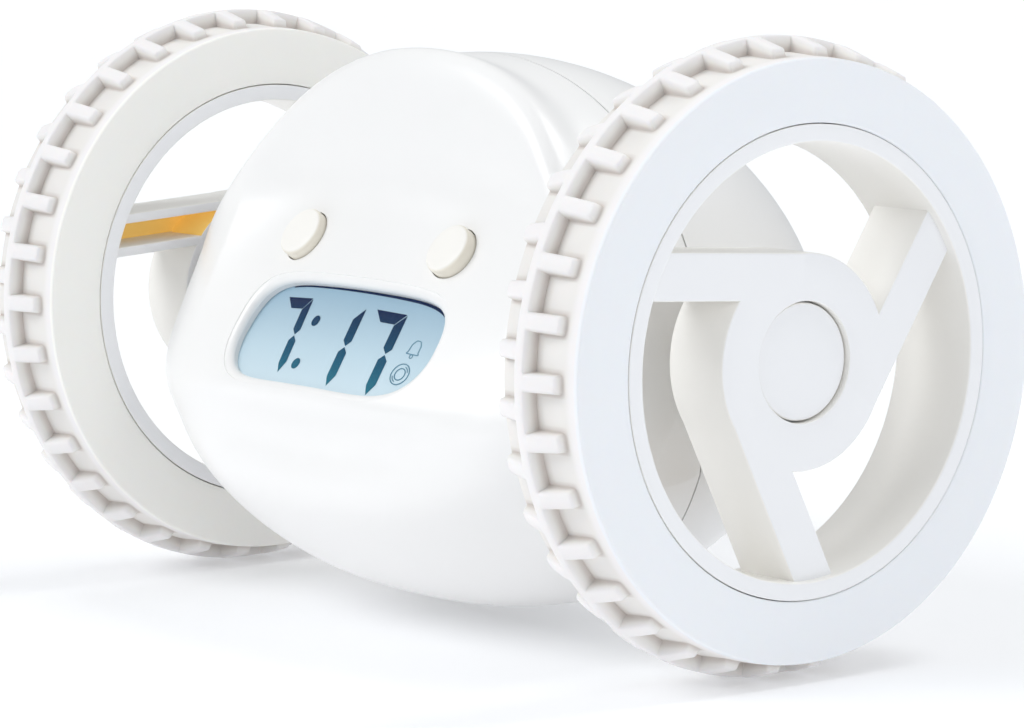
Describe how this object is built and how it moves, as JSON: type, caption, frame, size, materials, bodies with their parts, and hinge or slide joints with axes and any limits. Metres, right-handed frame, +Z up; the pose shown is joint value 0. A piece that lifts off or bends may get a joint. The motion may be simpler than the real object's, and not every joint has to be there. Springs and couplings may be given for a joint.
{
  "type": "rolling alarm clock",
  "caption": "Rolling alarm clock with a rounded white body between large treaded wheels, a slanted face with a curved display and round push buttons.",
  "frame": {"origin": "on the floor, midway between the outer faces of the two wheels, straight below the wheel axle", "axes": "+X along the wheel axle towards the right-hand wheel, +Y to the back (the face looks along -Y), +Z up"},
  "size_m": [0.1422, 0.089, 0.089],
  "materials": {
    "shell_white": "gloss",
    "wheel_white": "satin",
    "tread_rubber": "matt",
    "button_cream": "satin",
    "clear_window": "clear, polished",
    "display": "gloss",
    "board_green": "satin",
    "black_plastic": "matt",
    "gear_nylon": "satin",
    "steel": "plain",
    "brass": "plain",
    "cell_can": "printed sleeve, satin",
    "amber_guide": "satin"
  },
  "bodies": {
    "clock_body": {"front_shell": "shell_white", "rear_shell": "shell_white", "display_window": "clear_window", "display_panel": "display", "backlight_plate": "amber_guide", "display_ribbon": "amber_guide", "button_board": "board_green", "main_board": "board_green", "rear_board": "board_green", "snooze_switch": "black_plastic", "light_switch": "black_plastic", "speaker": "black_plastic", "battery_tray": "black_plastic", "gear_plate_left": "gear_nylon", "gear_plate_right": "gear_nylon", "mode_switch_case": "steel", "battery_contact_left": "steel", "battery_contact_right": "steel", "shell_screw_1": "steel", "shell_screw_2": "steel", "shell_screw_3": "steel", "shell_screw_4": "steel", "gear_pin_left": "steel", "gear_pin_right": "steel", "motor_left": "steel", "motor_right": "steel", "axle_bush_left": "brass", "axle_bush_right": "brass", "battery_cell_1": "cell_can", "battery_cell_2": "cell_can", "battery_cell_3": "cell_can", "battery_cell_4": "cell_can"},
    "wheel_left": {"tyre_left": "tread_rubber", "wheel_rim_left": "wheel_white", "hub_cap_left": "wheel_white", "axle_left": "steel", "output_gear_left": "gear_nylon"},
    "idler_left": {"compound_gear_left": "gear_nylon"},
    "pinion_left": {"motor_pinion_left": "brass"},
    "wheel_right": {"tyre_right": "tread_rubber", "wheel_rim_right": "wheel_white", "hub_cap_right": "wheel_white", "axle_right": "steel", "output_gear_right": "gear_nylon"},
    "idler_right": {"compound_gear_right": "gear_nylon"},
    "pinion_right": {"motor_pinion_right": "brass"},
    "snooze_button_body": {"snooze_button": "button_cream"},
    "light_button_body": {"light_button": "button_cream"},
    "hour_button_body": {"hour_button": "button_cream"},
    "minute_button_body": {"minute_button": "button_cream"},
    "time_button_body": {"time_button": "button_cream"},
    "alarm_button_body": {"alarm_button": "button_cream"},
    "mode_switch_body": {"mode_switch_knob": "black_plastic"},
    "battery_door_body": {"battery_door": "shell_white"}
  },
  "joints": [
    {"name": "wheel_right_spin", "type": "hinge", "parent": "clock_body", "child": "wheel_right", "pos_m": [0.0622, 0, 0.0445], "axis": [1, 0, 0], "continuous": true},
    {"name": "idler_right_spin", "type": "hinge", "parent": "clock_body", "child": "idler_right", "pos_m": [0.0326, -0.00795, 0.03178], "axis": [1, 0, 0], "continuous": true},
    {"name": "pinion_right_spin", "type": "hinge", "parent": "clock_body", "child": "pinion_right", "pos_m": [0.0352, -0.0174, 0.02439], "axis": [1, 0, 0], "continuous": true},
    {"name": "wheel_left_spin", "type": "hinge", "parent": "clock_body", "child": "wheel_left", "pos_m": [-0.065, 0, 0.0445], "axis": [1, 0, 0], "continuous": true},
    {"name": "idler_left_spin", "type": "hinge", "parent": "clock_body", "child": "idler_left", "pos_m": [-0.0354, -0.00795, 0.03178], "axis": [1, 0, 0], "continuous": true},
    {"name": "pinion_left_spin", "type": "hinge", "parent": "clock_body", "child": "pinion_left", "pos_m": [-0.038, -0.0174, 0.02439], "axis": [1, 0, 0], "continuous": true},
    {"name": "snooze_button_press", "type": "slide", "parent": "clock_body", "child": "snooze_button_body", "axis": [0, 0.809, -0.5878], "range_m": [0, 0.001], "stiffness_N_per_m": 400, "springref_m": -0.0005},
    {"name": "light_button_press", "type": "slide", "parent": "clock_body", "child": "light_button_body", "axis": [0, 0.809, -0.5878], "range_m": [0, 0.001], "stiffness_N_per_m": 400, "springref_m": -0.0005},
    {"name": "hour_button_press", "type": "slide", "parent": "clock_body", "child": "hour_button_body", "axis": [0, -1, 0], "range_m": [0, 0.0006], "stiffness_N_per_m": 400, "springref_m": -0.0005},
    {"name": "minute_button_press", "type": "slide", "parent": "clock_body", "child": "minute_button_body", "axis": [0, -1, 0], "range_m": [0, 0.0006], "stiffness_N_per_m": 400, "springref_m": -0.0005},
    {"name": "time_button_press", "type": "slide", "parent": "clock_body", "child": "time_button_body", "axis": [0, -1, 0], "range_m": [0, 0.0006], "stiffness_N_per_m": 400, "springref_m": -0.0005},
    {"name": "alarm_button_press", "type": "slide", "parent": "clock_body", "child": "alarm_button_body", "axis": [0, -1, 0], "range_m": [0, 0.0006], "stiffness_N_per_m": 400, "springref_m": -0.0005},
    {"name": "mode_switch_slide", "type": "slide", "parent": "clock_body", "child": "mode_switch_body", "axis": [1, 0, 0], "range_m": [0, 0.0036]},
    {"name": "battery_door_hinge", "type": "hinge", "parent": "clock_body", "child": "battery_door_body", "pos_m": [-0.0014, 0.0415, 0.0368], "axis": [1, 0, 0], "range_deg": [0, 100]}
  ],
  "couplings": [
    {"joint": "idler_right_spin", "follows": "wheel_right_spin", "ratio": -3},
    {"joint": "pinion_right_spin", "follows": "wheel_right_spin", "ratio": 6.6},
    {"joint": "idler_left_spin", "follows": "wheel_left_spin", "ratio": -3},
    {"joint": "pinion_left_spin", "follows": "wheel_left_spin", "ratio": 6.6}
  ]
}
